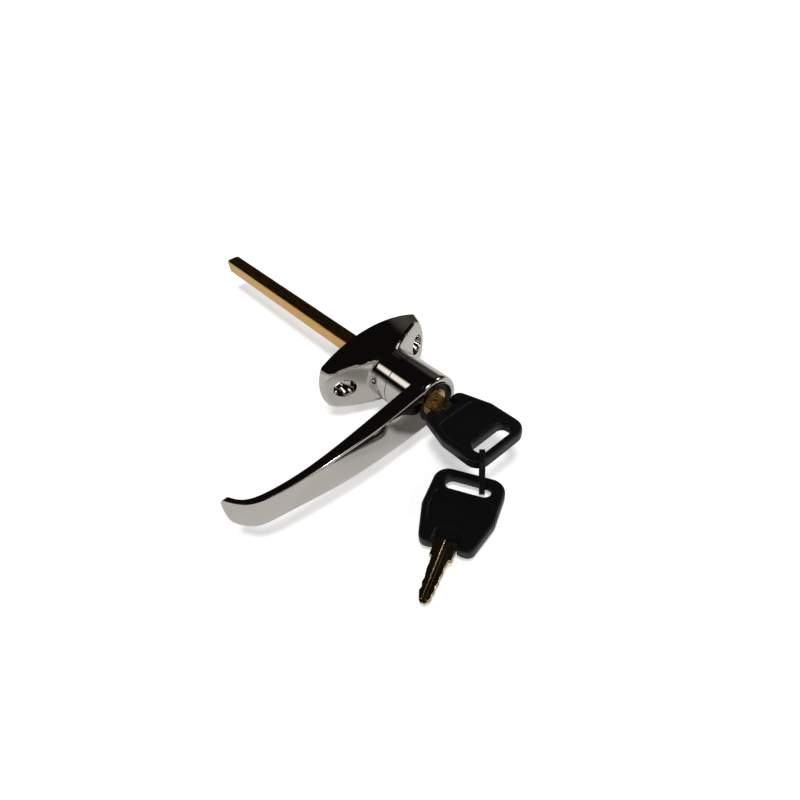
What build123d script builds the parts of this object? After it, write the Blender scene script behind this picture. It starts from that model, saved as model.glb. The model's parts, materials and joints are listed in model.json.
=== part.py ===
"""Locking L-shaped door handle with a square spindle, a wafer lock and two keys.

The frame: the door's outer face is the plane Y = 0, the spindle's axis is the Y axis
and +Y goes into the door. The lever lies along -X at rest and +Z is up. Sizes are in
millimetres. A length whose name ends in _out is a distance in front of the door face,
so it stands at Y = -length.
"""

import os
from math import cos, radians, sin, sqrt, tan

from build123d import *

# Mounting plate: a boat-shaped casting with sloping ears
screw_spacing = 45.4
ear_reach = 9.3
plate_half_height = 18.8
plate_side_rise = 6.7
plate_end_rise = 3.4
plate_corner_radius = 3.5
plate_draft = 20.0
ear_end_out = 2.9
ear_slope = 0.49
ear_edge_radius = 3.6
plate_wall = 3.0
screw_hole_radius = 2.75
screw_sink_radius = 5.0
screw_sink_out = 4.7
screw_sink_depth = 2.25
screw_boss_radius = 5.6

# Collar of the plate and the shank that turns in it
collar_radius = 12.8
collar_out = 24.5
collar_root_radius = 0.8
shank_radius = 8.0
shank_end_out = 2.5
running_gap = 0.05
seam_gap = 0.25
bearing_boss_radius = 11.6
bearing_boss_out = 8.0

# Hub and lever, one casting
hub_radius = 12.8
hub_out = 45.3
hub_edge_radius = 0.8
hub_bore_radius = 9.6
hub_floor_thickness = 3.25
lever_length = 98.8
lever_root_half_width = 9.8
lever_waist_half_width = 6.6
lever_tip_half_width = 7.1
lever_root_out = 45.0
lever_bow_out = 47.1
lever_tip_out = 29.6
lever_root_depth = 8.3
lever_middle_depth = 6.0
lever_waist_depth = 4.2
lever_front_radius = 1.0
lever_back_radius = 1.7

# Square spindle and its cross pin
spindle_width = 8.0
spindle_end_y = 147.0
socket_floor = 1.65
spindle_edge_radius = 0.8
spindle_end_radius = 2.6
fit_gap = 0.02
cross_pin_radius = 1.5
cross_pin_length = 15.6
cross_pin_out = 13.0
cross_pin_slit = 0.6
cross_pin_wall = 0.6

# Spring washer, stop washer and snap ring behind the bearing
washer_radius = 10.8
spring_washer_thickness = 0.5
spring_washer_height = 1.1
stop_washer_thickness = 1.2
shank_flats = 14.0
stop_tab_half_width = 2.5
stop_tab_reach = 12.8
stop_rib_thickness = 2.5
stop_rib_out = 4.4
stop_gap = 0.2
snap_ring_thickness = 1.1
snap_ring_radius = 9.9
snap_ring_groove_radius = 7.2
snap_ring_mouth = 8.0
washer_gap = 0.05

# Lock barrel and plug
barrel_face_depth = 1.7
barrel_wall_gap = 0.05
plug_radius = 6.45
plug_proud = 0.7
plug_tail_radius = 5.0
plug_tail_gap = 0.2
plug_gap = 0.05
keyway_gap = 0.2
keyway_floor = 2.4
barrel_web = 1.2
clip_room_depth = 1.5
clip_room_radius = 7.2
clip_thickness = 0.8
clip_radius = 6.6
clip_groove_radius = 4.5
clip_mouth = 7.0

# Wafers and their springs
wafer_count = 5
wafer_pitch = 2.2
wafer_first_depth = 2.9
wafer_thickness = 0.8
wafer_half_height = 3.2
wafer_ear_width = 0.9
wafer_ear_height = 1.3
wafer_gap = 0.1
wafer_groove_reach = 7.6
spring_start_x = 1.4
spring_length = 2.4
spring_radius = 0.5
spring_wire = 0.16
spring_turns = 4

# Drive pin and locking bolt
drive_pin_radius = 1.1
drive_pin_offset = 2.2
drive_pin_depth = 1.2
drive_pin_reach = 1.6
bolt_cover = 1.9
bolt_thickness = 3.0
bolt_half_width = 4.2
bolt_nose_radius = 7.8
bolt_foot_z = -4.4
bolt_gap = 0.15
bolt_groove_depth = 1.8
bolt_groove_gap = 0.2
notch_radius = 11.3

# Keys: the length axis runs from the end of the bow to the blade's tip
bow_length = 36.6
bow_half_width = 15.35
bow_front_half_width = 10.8
bow_shoulder = 20.4
bow_thickness = 5.4
bow_corner_radius = 6.3
bow_front_corner_radius = 3.5
bow_edge_radius = 1.0
bow_shoulder_radius = 8.0
bow_rim = 3.4
bow_slot_width = 7.5
bow_slot_half_length = 9.8
bow_slot_corner = 1.6
bow_panel_depth = 0.7
bow_panel_margin = 3.0
bow_step_length = 8.2
bow_step_half_width = 6.1
bow_step_depth = 1.0
bow_window_length = 3.9
bow_window_half_width = 4.6
key_shoulder_half_width = 4.4
key_shoulder_length = 4.4
key_shoulder_gap = 0.2
key_tip_gap = 0.7
key_tang_length = 16.0
blade_half_width = 3.35
blade_thickness = 2.4
blade_groove_width = 1.3
blade_groove_depth = 0.5
key_tip_half_width = 1.3
key_tip_length = 2.6
key_cut_depths = (0.5, 1.0, 0.4, 0.9, 0.6)
key_cut_radius = 0.75

# Link between the keys, and the lie of the loose key
link_inner_half_length = 4.0
link_bend_radius = 1.4
link_thickness = 1.1
link_width = 2.4
link_heading = 44.0
link_middle_x = -11.0
link_rim_offset = 2.1
link_top_gap = 0.5
link_foot_gap = 0.6
key_2_bow_end_x = -11.0
key_2_bow_end_out = 78.4
key_2_drop = 13.6
key_2_heading = 206.3

# Places that follow from the sizes above
plate_half_length = screw_spacing / 2 + ear_reach
plate_corner_x = plate_half_length - plate_end_rise
plate_corner_z = plate_half_height - plate_side_rise
roof_apex_out = ear_end_out + ear_slope * plate_half_length
bore_radius = shank_radius + running_gap
hub_back_out = collar_out + seam_gap
stop_washer_out = bearing_boss_out - spring_washer_height
snap_ring_out = stop_washer_out - stop_washer_thickness
hub_bore_floor_out = hub_back_out + hub_floor_thickness
barrel_radius = hub_bore_radius - barrel_wall_gap
barrel_face_out = hub_out - barrel_face_depth
plug_face_out = barrel_face_out + plug_proud
clip_room_out = hub_bore_floor_out + clip_room_depth
barrel_web_out = clip_room_out + barrel_web
plug_body_end_out = barrel_web_out + plug_gap
clip_out = clip_room_out - plug_gap
tail_hole_radius = plug_tail_radius + plug_gap
bolt_front_out = collar_out - bolt_cover
bolt_back_out = bolt_front_out - bolt_thickness
plug_tail_end_out = bolt_front_out + plug_tail_gap
drive_pin_end_out = bolt_front_out - drive_pin_reach
spindle_front_out = bolt_back_out - bolt_gap - socket_floor - fit_gap
keyway_end_out = plug_tail_end_out + keyway_floor
keyway_half_width = blade_half_width + keyway_gap
keyway_half_height = blade_thickness / 2 + keyway_gap
wafer_first_out = plug_face_out - wafer_first_depth
key_1_bow_end_out = plug_face_out + key_shoulder_gap + key_shoulder_length + bow_length
key_length = key_1_bow_end_out - keyway_end_out - key_tip_gap
bolt_groove_half = drive_pin_radius + bolt_groove_gap
pin_x = drive_pin_offset * sqrt(0.5)
pin_z = -drive_pin_offset * sqrt(0.5)
shoulder_end = bow_length + key_shoulder_length
stop_rib_z = stop_tab_half_width + stop_gap + stop_rib_thickness / 2
far = 60.0


def door_plane(out):
    """The plane parallel to the door, a distance in front of it, facing the user."""
    return Plane.XZ.offset(out)


def plate_outline(out, inset):
    """Boat-shaped section of the plate at a distance from the door, inside its edge by an inset."""
    side_radius = (plate_corner_x**2 + plate_side_rise**2) / (2 * plate_side_rise)
    end_radius = (plate_corner_z**2 + plate_end_rise**2) / (2 * plate_end_rise)
    side_centre = plate_half_height - side_radius
    end_centre = plate_half_length - end_radius
    side_reach = side_radius - inset
    end_reach = end_radius - inset
    apart = sqrt(side_centre**2 + end_centre**2)
    along = (side_reach**2 - end_reach**2 + apart**2) / (2 * apart)
    across = sqrt(side_reach**2 - along**2)
    corner_x = (along * end_centre - across * side_centre) / apart
    corner_z = side_centre - (along * side_centre + across * end_centre) / apart
    with BuildSketch(door_plane(out)) as outline:
        with BuildLine():
            for side in (1, -1):
                ThreePointArc(
                    (-corner_x, side * corner_z),
                    (0, side * (plate_half_height - inset)),
                    (corner_x, side * corner_z),
                )
                ThreePointArc(
                    (side * corner_x, -corner_z),
                    (side * (plate_half_length - inset), 0),
                    (side * corner_x, corner_z),
                )
        make_face()
    return outline.sketch


def roof_section(drop=0.0):
    """Side view of the plate's two sloping ears, lowered by a wall thickness."""
    reach = plate_half_length + 2
    low = ear_end_out - 2 * ear_slope - drop
    with BuildSketch(Plane.XY) as section:
        with BuildLine():
            Polyline(
                (-reach, 9),
                (-reach, -low),
                (0, -(roof_apex_out - drop)),
                (reach, -low),
                (reach, 9),
                close=True,
            )
        make_face()
    return section.sketch


# Sections of the plate's outside and of the hollow in its back
draft_inset = roof_apex_out * tan(radians(plate_draft))
plate_back = plate_outline(0, 0)
plate_front = plate_outline(roof_apex_out, draft_inset)
core_back = plate_outline(0, plate_wall)
core_front = plate_outline(roof_apex_out, draft_inset + plate_wall)
plate_roof = roof_section()
core_roof = roof_section(plate_wall * sqrt(1 + ear_slope**2))

# Hollow in the back of the mounting plate
with BuildPart() as plate_core:
    add(core_back)
    add(core_front)
    loft(ruled=True)
    extrude(core_roof, amount=far, both=True, mode=Mode.INTERSECT)
    with BuildSketch(door_plane(0)):
        with Locations((-screw_spacing / 2, 0), (screw_spacing / 2, 0)):
            Circle(screw_boss_radius)
    extrude(amount=far, mode=Mode.SUBTRACT)
    with BuildSketch(door_plane(bearing_boss_out)):
        Circle(bearing_boss_radius)
    extrude(amount=far, mode=Mode.SUBTRACT)
    with BuildSketch(door_plane(stop_rib_out)):
        with Locations((0, stop_rib_z)):
            Rectangle(screw_spacing, stop_rib_thickness)
        Circle(washer_radius + stop_gap, mode=Mode.SUBTRACT)
    extrude(amount=far, mode=Mode.SUBTRACT)

# Mounting plate
with BuildPart() as mounting_plate:
    add(plate_back)
    add(plate_front)
    loft(ruled=True)
    extrude(plate_roof, amount=far, both=True, mode=Mode.INTERSECT)
    corner_edges = mounting_plate.edges().filter_by(
        lambda edge: abs(edge.center().X) > 0.9 * plate_corner_x
        and abs(edge.center().Z) > plate_corner_z / 2
        and edge.center().Y < -ear_end_out / 4
    )
    fillet(corner_edges, plate_corner_radius)
    ear_edges = mounting_plate.edges().filter_by(
        lambda edge: edge.center().Y < -0.9 * ear_end_out
        and abs(edge.center().X) > 0.1 * screw_spacing
        and edge.length > plate_corner_z
    )
    fillet(ear_edges, ear_edge_radius)
    with BuildSketch(door_plane(0)):
        Circle(collar_radius)
    extrude(amount=collar_out)
    root_edges = mounting_plate.edges().filter_by(
        lambda edge: edge.geom_type != GeomType.LINE
        and -collar_out + 1 < (edge @ 0.5).Y < -1
        and abs(sqrt((edge @ 0.5).X ** 2 + (edge @ 0.5).Z ** 2) - collar_radius) < 0.01
        and abs(sqrt((edge @ 0.2).X ** 2 + (edge @ 0.2).Z ** 2) - collar_radius) < 0.01
    )
    fillet(root_edges, collar_root_radius)
    add(plate_core.part, mode=Mode.SUBTRACT)
    with BuildSketch(door_plane(0)):
        Circle(bore_radius)
    extrude(amount=collar_out, mode=Mode.SUBTRACT)
    with BuildSketch(door_plane(collar_out)):
        with PolarLocations(notch_radius / 2, 4):
            Rectangle(notch_radius, 2 * (bolt_half_width + bolt_gap))
    extrude(amount=-(collar_out - bolt_back_out + 2 * bolt_gap), mode=Mode.SUBTRACT)
    with BuildSketch(Plane.XY):
        with BuildLine():
            Polyline(
                (0, 1),
                (0, -far),
                (screw_sink_radius, -far),
                (screw_sink_radius, -screw_sink_out),
                (screw_hole_radius, -(screw_sink_out - screw_sink_depth)),
                (screw_hole_radius, 1),
                close=True,
            )
        make_face()
    screw_sink = revolve(axis=Axis.Y, mode=Mode.PRIVATE)
    for side in (-1, 1):
        add(screw_sink.moved(Location((side * screw_spacing / 2, 0, 0))), mode=Mode.SUBTRACT)
mounting_plate.part.label = "mounting_plate"


def lever_side():
    """Side view of the lever: a slow outward bow that curls in to the door at its tip."""
    tip_x = -lever_length
    with BuildSketch(Plane.XY) as side:
        with BuildLine():
            front = Spline(
                (0, -lever_root_out),
                (0.36 * tip_x, -lever_bow_out),
                (0.62 * tip_x, -(lever_bow_out - 0.8)),
                (0.82 * tip_x, -(lever_bow_out - 3.3)),
                (0.92 * tip_x, -(lever_bow_out - 6.3)),
                (tip_x, -lever_tip_out),
                tangents=((-1, -0.05), (-0.25, 1)),
            )
            back = Spline(
                (tip_x + 3.4, -lever_tip_out + 0.4),
                (0.92 * tip_x, -(lever_bow_out - 6.3 - lever_waist_depth + 0.3)),
                (0.82 * tip_x, -(lever_bow_out - 3.3 - lever_waist_depth)),
                (0.55 * tip_x, -(lever_bow_out - 0.4 - lever_middle_depth)),
                (0.28 * tip_x, -(lever_bow_out - 8.7)),
                (0, -(lever_root_out - lever_root_depth)),
            )
            Line(front @ 1, back @ 0)
            Line(back @ 1, front @ 0)
        make_face()
    return side.sketch


def lever_plan():
    """Front view of the lever: it narrows to a waist and ends in a round tip."""
    with BuildSketch(door_plane(0)) as plan:
        with BuildLine():
            for side in (1, -1):
                Spline(
                    (0, side * lever_root_half_width),
                    (-0.30 * lever_length, side * 0.96 * lever_root_half_width),
                    (-0.55 * lever_length, side * 0.835 * lever_root_half_width),
                    (-0.84 * lever_length, side * lever_waist_half_width),
                    (-0.94 * lever_length, side * lever_tip_half_width),
                    (-lever_length - 1, side * 0.8 * lever_tip_half_width),
                    tangents=((-1, 0), (-1, -side * 0.8)),
                )
            Line((0, lever_root_half_width), (0, -lever_root_half_width))
            tip_z = 0.8 * lever_tip_half_width
            Line((-lever_length - 1, tip_z), (-lever_length - 1, -tip_z))
        make_face()
    return plan.sketch


# Handle: hub, lever and hollow shank
lever_side_face = lever_side()
lever_front_face = lever_plan()
with BuildPart() as handle:
    extrude(lever_side_face, amount=far, both=True)
    extrude(lever_front_face, amount=far, mode=Mode.INTERSECT)
    sides = handle.edges().filter_by(
        lambda edge: edge.length > lever_length / 2
        and abs(edge.center().Z) > lever_tip_half_width / 2
    )
    back_edges = sides.filter_by(lambda edge: min((edge @ 0).Y, (edge @ 1).Y) > 1 - lever_root_out)
    fillet(back_edges, lever_back_radius)
    sides = handle.edges().filter_by(
        lambda edge: edge.length > lever_length / 2
        and abs(edge.center().Z) > lever_tip_half_width / 2
    )
    front_edges = sides.filter_by(lambda edge: min((edge @ 0).Y, (edge @ 1).Y) < 1 - lever_root_out)
    fillet(front_edges, lever_front_radius)
    with BuildSketch(door_plane(hub_back_out)):
        Circle(hub_radius)
    extrude(amount=hub_out - hub_back_out)
    rim_edges = handle.edges().filter_by(
        lambda edge: edge.geom_type == GeomType.CIRCLE
        and abs((edge @ 0.5).Y + hub_out) < 0.1
        and abs(edge.radius - hub_radius) < 0.1
    )
    fillet(rim_edges, hub_edge_radius)
    with BuildSketch(door_plane(shank_end_out)):
        Circle(shank_radius)
    extrude(amount=hub_back_out - shank_end_out)
    with BuildSketch(door_plane(shank_end_out)):
        Circle(2 * shank_radius)
        Rectangle(shank_flats, 4 * shank_radius, mode=Mode.SUBTRACT)
    extrude(amount=bearing_boss_out - shank_end_out, mode=Mode.SUBTRACT)
    with BuildSketch(door_plane(snap_ring_out - snap_ring_thickness)):
        Circle(shank_radius)
        Circle(snap_ring_groove_radius, mode=Mode.SUBTRACT)
    extrude(amount=snap_ring_thickness, mode=Mode.SUBTRACT)
    with BuildSketch(door_plane(hub_out + 5)):
        Circle(hub_bore_radius)
    extrude(amount=-(hub_out + 5 - hub_bore_floor_out), mode=Mode.SUBTRACT)
    with BuildSketch(door_plane(hub_bore_floor_out)):
        Circle(tail_hole_radius)
    extrude(amount=-(hub_bore_floor_out - bolt_front_out), mode=Mode.SUBTRACT)
    with BuildSketch(door_plane(bolt_front_out + bolt_gap)):
        with Locations((0, (bolt_foot_z - bolt_gap + 2 * shank_radius) / 2)):
            Rectangle(2 * (bolt_half_width + bolt_gap), 2 * shank_radius - bolt_foot_z + bolt_gap)
        Circle(notch_radius, mode=Mode.INTERSECT)
    extrude(amount=-(bolt_thickness + 2 * bolt_gap), mode=Mode.SUBTRACT)
    with BuildSketch(door_plane(0)):
        Rectangle(spindle_width + 2 * fit_gap, spindle_width + 2 * fit_gap)
    extrude(amount=spindle_front_out + fit_gap, mode=Mode.SUBTRACT)
    with BuildSketch(Plane.XY):
        with Locations((0, -cross_pin_out)):
            Circle(cross_pin_radius + fit_gap)
    extrude(amount=far, both=True, mode=Mode.SUBTRACT)
handle.part.label = "handle"

# Square spindle with a chamfered far end
with BuildPart() as spindle:
    with BuildSketch(door_plane(spindle_front_out)):
        RectangleRounded(spindle_width, spindle_width, spindle_edge_radius)
    extrude(amount=-(spindle_front_out + spindle_end_y))
    end_edges = spindle.faces().sort_by(Axis.Y)[-1].edges()
    fillet(end_edges, spindle_end_radius)
    with BuildSketch(Plane.XY):
        with Locations((0, -cross_pin_out)):
            Circle(cross_pin_radius + fit_gap)
    extrude(amount=far, both=True, mode=Mode.SUBTRACT)
spindle.part.label = "spindle"

# Slit spring pin that ties the spindle to the shank
with BuildPart() as cross_pin:
    with BuildSketch(Plane.XY):
        with Locations((0, -cross_pin_out)):
            Circle(cross_pin_radius)
            Circle(cross_pin_radius - cross_pin_wall, mode=Mode.SUBTRACT)
        with Locations((cross_pin_radius, -cross_pin_out)):
            Rectangle(2 * cross_pin_radius, cross_pin_slit, mode=Mode.SUBTRACT)
    extrude(amount=cross_pin_length / 2, both=True)
cross_pin.part.label = "spindle_cross_pin"

# Dished spring washer behind the bearing
with BuildPart() as spring_washer:
    with BuildSketch(Plane.XY):
        with BuildLine():
            rise = spring_washer_height - spring_washer_thickness - 2 * washer_gap
            inner = shank_radius + stop_gap
            top = -(bearing_boss_out - washer_gap)
            Polyline(
                (inner, top + rise),
                (washer_radius, top),
                (washer_radius, top + spring_washer_thickness),
                (inner, top + rise + spring_washer_thickness),
                close=True,
            )
        make_face()
    revolve(axis=Axis.Y)
spring_washer.part.label = "spring_washer"

# Stop washer: its tab meets the plate's ribs at either end of the handle's turn
with BuildPart() as stop_washer:
    with BuildSketch(door_plane(snap_ring_out + washer_gap)):
        Circle(washer_radius)
        with Locations((0, -stop_tab_reach / 2)):
            Rectangle(2 * stop_tab_half_width, stop_tab_reach)
        with BuildSketch(mode=Mode.PRIVATE) as shank_hole:
            Circle(shank_radius + washer_gap)
            Rectangle(shank_flats + 2 * washer_gap, 4 * shank_radius, mode=Mode.INTERSECT)
        add(shank_hole.sketch, mode=Mode.SUBTRACT)
    extrude(amount=stop_washer_thickness - 2 * washer_gap)
stop_washer.part.label = "stop_washer"

# Snap ring that holds the handle in the plate
with BuildPart() as snap_ring:
    with BuildSketch(door_plane(snap_ring_out - snap_ring_thickness + washer_gap)):
        Circle(snap_ring_radius)
        Circle(snap_ring_groove_radius + washer_gap, mode=Mode.SUBTRACT)
        with Locations((0, -snap_ring_radius)):
            Rectangle(snap_ring_mouth, 2 * snap_ring_radius, mode=Mode.SUBTRACT)
    extrude(amount=snap_ring_thickness - 2 * washer_gap)
snap_ring.part.label = "snap_ring"

# Lock barrel fixed in the hub
with BuildPart() as lock_barrel:
    with BuildSketch(door_plane(barrel_face_out)):
        Circle(barrel_radius)
    extrude(amount=-(barrel_face_out - hub_bore_floor_out))
    with BuildSketch(door_plane(barrel_face_out)):
        Circle(plug_radius + plug_gap)
    extrude(amount=-(barrel_face_out - barrel_web_out), mode=Mode.SUBTRACT)
    with BuildSketch(door_plane(barrel_web_out)):
        Circle(tail_hole_radius)
    extrude(amount=-barrel_web, mode=Mode.SUBTRACT)
    with BuildSketch(door_plane(clip_room_out)):
        Circle(clip_room_radius)
    extrude(amount=-(clip_room_out - hub_bore_floor_out), mode=Mode.SUBTRACT)
    wafer_row = (wafer_count - 1) * wafer_pitch + wafer_thickness + 4 * wafer_gap
    with BuildSketch(door_plane(wafer_first_out + wafer_thickness / 2 + 2 * wafer_gap)):
        Rectangle(2 * wafer_groove_reach, 2 * (wafer_half_height + wafer_gap))
    extrude(amount=-wafer_row, mode=Mode.SUBTRACT)
lock_barrel.part.label = "lock_barrel"

# Plug that turns in the barrel, with its tail and keyway
with BuildPart() as lock_plug:
    with BuildSketch(door_plane(plug_face_out)):
        Circle(plug_radius)
    extrude(amount=-(plug_face_out - plug_body_end_out))
    with BuildSketch(door_plane(plug_body_end_out)):
        Circle(plug_tail_radius)
    extrude(amount=-(plug_body_end_out - plug_tail_end_out))
    with BuildSketch(door_plane(clip_out)):
        Circle(plug_radius)
        Circle(clip_groove_radius, mode=Mode.SUBTRACT)
    extrude(amount=-(clip_thickness + 2 * plug_gap), mode=Mode.SUBTRACT)
    with BuildSketch(door_plane(plug_face_out)):
        Rectangle(2 * keyway_half_width, 2 * keyway_half_height)
    extrude(amount=-(plug_face_out - keyway_end_out), mode=Mode.SUBTRACT)
    for index in range(wafer_count):
        side = 1 if index % 2 == 0 else -1
        wafer_out = wafer_first_out - index * wafer_pitch
        with BuildSketch(door_plane(wafer_out + wafer_thickness / 2 + wafer_gap)):
            Rectangle(2 * plug_radius, 2 * (wafer_half_height + wafer_gap))
            with Locations((side * (spring_start_x - wafer_ear_width) / 2, side * wafer_half_height / 2)):
                Rectangle(
                    spring_start_x + 3 * wafer_ear_width,
                    wafer_half_height + 2 * (wafer_ear_height + wafer_gap),
                )
        extrude(amount=-(wafer_thickness + 2 * wafer_gap), mode=Mode.SUBTRACT)
        spring_z = side * (wafer_half_height + wafer_gap + wafer_ear_height / 2)
        spring_y = -wafer_out
        with BuildSketch(Plane.YZ.offset(side * (spring_start_x - wafer_gap))):
            with Locations((spring_y, spring_z)):
                Circle(spring_radius + wafer_gap)
        extrude(amount=side * (spring_length + 2 * wafer_gap), mode=Mode.SUBTRACT)
    with BuildSketch(door_plane(plug_tail_end_out)):
        with Locations((pin_x, pin_z)):
            Circle(drive_pin_radius)
    extrude(amount=drive_pin_depth, mode=Mode.SUBTRACT)
lock_plug.part.label = "lock_plug"

# Clip that keeps the plug in the barrel
with BuildPart() as plug_clip:
    with BuildSketch(door_plane(clip_out - plug_gap)):
        Circle(clip_radius)
        Circle(clip_groove_radius + plug_gap, mode=Mode.SUBTRACT)
        with Locations((0, -clip_radius)):
            Rectangle(clip_mouth, 2 * clip_radius, mode=Mode.SUBTRACT)
    extrude(amount=-clip_thickness)
plug_clip.part.label = "plug_clip"

# Drive pin in the tail of the plug
with BuildPart() as drive_pin:
    with BuildSketch(door_plane(drive_pin_end_out)):
        with Locations((pin_x, pin_z)):
            Circle(drive_pin_radius - fit_gap)
    extrude(amount=plug_tail_end_out + drive_pin_depth - fit_gap - drive_pin_end_out)
drive_pin.part.label = "drive_pin"

# Locking bolt, with a cross groove in its front for the drive pin
with BuildPart() as locking_bolt:
    with BuildSketch(door_plane(bolt_front_out)):
        with Locations((0, bolt_foot_z + shank_radius)):
            Rectangle(2 * bolt_half_width, 2 * shank_radius)
        Circle(bolt_nose_radius, mode=Mode.INTERSECT)
    extrude(amount=-bolt_thickness)
    with BuildSketch(door_plane(bolt_front_out)):
        with Locations((0, pin_z)):
            Rectangle(4 * bolt_half_width, 2 * bolt_groove_half)
    extrude(amount=-bolt_groove_depth, mode=Mode.SUBTRACT)
locking_bolt.part.label = "locking_bolt"

# Wafers and springs, every other one turned half a turn about the plug's axis
wafers = []
springs = []
for index in range(wafer_count):
    side = 1 if index % 2 == 0 else -1
    wafer_out = wafer_first_out - index * wafer_pitch
    spring_z = side * (wafer_half_height + wafer_gap + wafer_ear_height / 2)
    with BuildPart() as wafer:
        with BuildSketch(door_plane(wafer_out + wafer_thickness / 2)):
            Rectangle(2 * plug_radius, 2 * wafer_half_height)
            Circle(plug_radius - wafer_gap, mode=Mode.INTERSECT)
            with Locations((side * (spring_start_x - wafer_gap - wafer_ear_width / 2), side * wafer_half_height)):
                Rectangle(wafer_ear_width, 2 * wafer_ear_height)
            Rectangle(2 * keyway_half_width, 2 * keyway_half_height, mode=Mode.SUBTRACT)
        extrude(amount=-wafer_thickness)
    wafer.part.label = "wafer_" + str(index + 1)
    wafers.append(wafer)
    spring_middle = side * (spring_start_x + spring_length / 2)
    with BuildPart() as wafer_spring:
        with BuildLine():
            coil = Helix(
                pitch=(spring_length - 2 * spring_wire) / spring_turns,
                height=spring_length - 2 * spring_wire,
                radius=spring_radius - spring_wire / 2,
                center=(spring_middle + spring_length / 2 - spring_wire, -wafer_out, spring_z),
                direction=(-1, 0, 0),
            )
        with BuildSketch(Plane(origin=coil @ 0, z_dir=coil % 0)):
            Rectangle(spring_wire, spring_wire)
        sweep(path=coil, is_frenet=True)
    wafer_spring.part.label = "wafer_spring_" + str(index + 1)
    springs.append(wafer_spring)

# Planes of the two keys: local X runs from the bow's end to the blade's tip
key_1_plane = Plane(origin=(0, -key_1_bow_end_out, 0), x_dir=(0, 1, 0), z_dir=(0, 0, 1))
key_2_course = (cos(radians(key_2_heading)), sin(radians(key_2_heading)), 0)
key_2_plane = Plane(
    origin=(key_2_bow_end_x, -key_2_bow_end_out, -key_2_drop), x_dir=key_2_course, z_dir=(0, 0, 1)
)
key_2_move = key_2_plane.location * key_1_plane.location.inverse()


def bow_outline(inset=0.0):
    """Outline of a key's plastic bow in its own plane, a distance inside its edge."""
    with BuildSketch(key_1_plane) as outline:
        with BuildLine():
            Polyline(
                (0, -bow_half_width),
                (bow_shoulder, -bow_half_width),
                (bow_length, -bow_front_half_width),
                (bow_length, bow_front_half_width),
                (bow_shoulder, bow_half_width),
                (0, bow_half_width),
                close=True,
            )
        make_face()
        corners = outline.vertices()
        end_corners = corners.filter_by(lambda corner: corner.Y < -key_1_bow_end_out + 1)
        front_corners = corners.filter_by(lambda corner: corner.Y > bow_length - key_1_bow_end_out - 1)
        side_corners = [corner for corner in corners if corner not in end_corners + front_corners]
        fillet(end_corners, bow_corner_radius)
        fillet(front_corners, bow_front_corner_radius)
        fillet(side_corners, bow_shoulder_radius)
        if inset > 0:
            offset(amount=-inset, mode=Mode.REPLACE)
    return outline


# Plastic bow of the key in the lock
bow_face = bow_outline().sketch
panel_start = bow_rim + bow_slot_width + bow_rim
panel_end = bow_length - bow_step_length - bow_panel_margin / 2
panel_limit = bow_outline(bow_panel_margin).sketch_local
with BuildSketch(key_1_plane) as panel:
    with Locations(((panel_start + panel_end) / 2, 0)):
        Rectangle(panel_end - panel_start, 4 * bow_half_width)
    add(panel_limit, mode=Mode.INTERSECT)
with BuildPart() as key_1_bow:
    extrude(bow_face, amount=bow_thickness / 2, both=True)
    rim_edges = key_1_bow.faces().filter_by(Axis.Z).edges()
    fillet(rim_edges, bow_edge_radius)
    with BuildSketch(key_1_plane):
        with Locations((bow_rim + bow_slot_width / 2, 0)):
            RectangleRounded(bow_slot_width, 2 * bow_slot_half_length, bow_slot_corner)
    extrude(amount=far, both=True, mode=Mode.SUBTRACT)
    for face_side in (1, -1):
        panel_z = face_side * (bow_thickness / 2 - bow_panel_depth)
        panel_face = panel.sketch.moved(Location((0, 0, panel_z)))
        extrude(panel_face, amount=far, dir=(0, 0, face_side), mode=Mode.SUBTRACT)
        with BuildSketch(key_1_plane.offset(face_side * (bow_thickness / 2 - bow_step_depth))):
            with Locations((bow_length - bow_step_length / 2, 0)):
                Rectangle(bow_step_length, 2 * bow_step_half_width)
        extrude(amount=face_side * far, mode=Mode.SUBTRACT)
    with BuildSketch(key_1_plane):
        with Locations((bow_length - bow_window_length / 2, 0)):
            Rectangle(bow_window_length, 2 * bow_window_half_width)
    extrude(amount=far, both=True, mode=Mode.SUBTRACT)
    with BuildSketch(key_1_plane):
        with Locations((bow_length - (key_tang_length + fit_gap) / 2, 0)):
            Rectangle(key_tang_length + fit_gap, 2 * (key_shoulder_half_width + fit_gap))
    extrude(amount=blade_thickness / 2 + fit_gap, both=True, mode=Mode.SUBTRACT)
key_1_bow.part.label = "key_1_bow"

# Brass blade of the key in the lock
with BuildPart() as key_1_blade:
    with BuildSketch(key_1_plane):
        with BuildLine():
            Polyline(
                (bow_length - key_tang_length, -key_shoulder_half_width),
                (shoulder_end, -key_shoulder_half_width),
                (shoulder_end, -blade_half_width),
                (key_length - key_tip_length, -blade_half_width),
                (key_length, -key_tip_half_width),
                (key_length, key_tip_half_width),
                (key_length - key_tip_length, blade_half_width),
                (shoulder_end, blade_half_width),
                (shoulder_end, key_shoulder_half_width),
                (bow_length - key_tang_length, key_shoulder_half_width),
                close=True,
            )
        make_face()
        for index in range(wafer_count):
            cut_depth = key_cut_depths[index]
            cut_along = key_1_bow_end_out - wafer_first_out + index * wafer_pitch
            for side in (1, -1):
                with Locations((cut_along, side * (blade_half_width + key_cut_radius - cut_depth))):
                    Circle(key_cut_radius, mode=Mode.SUBTRACT)
    extrude(amount=blade_thickness / 2, both=True)
    for face_side in (1, -1):
        with BuildSketch(key_1_plane.offset(face_side * blade_thickness / 2)):
            with Locations(((shoulder_end + key_length) / 2 + 1, face_side * blade_groove_width)):
                Rectangle(key_length - shoulder_end + 2, blade_groove_width)
        extrude(amount=-face_side * blade_groove_depth, mode=Mode.SUBTRACT)
key_1_blade.part.label = "key_1_blade"

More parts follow.
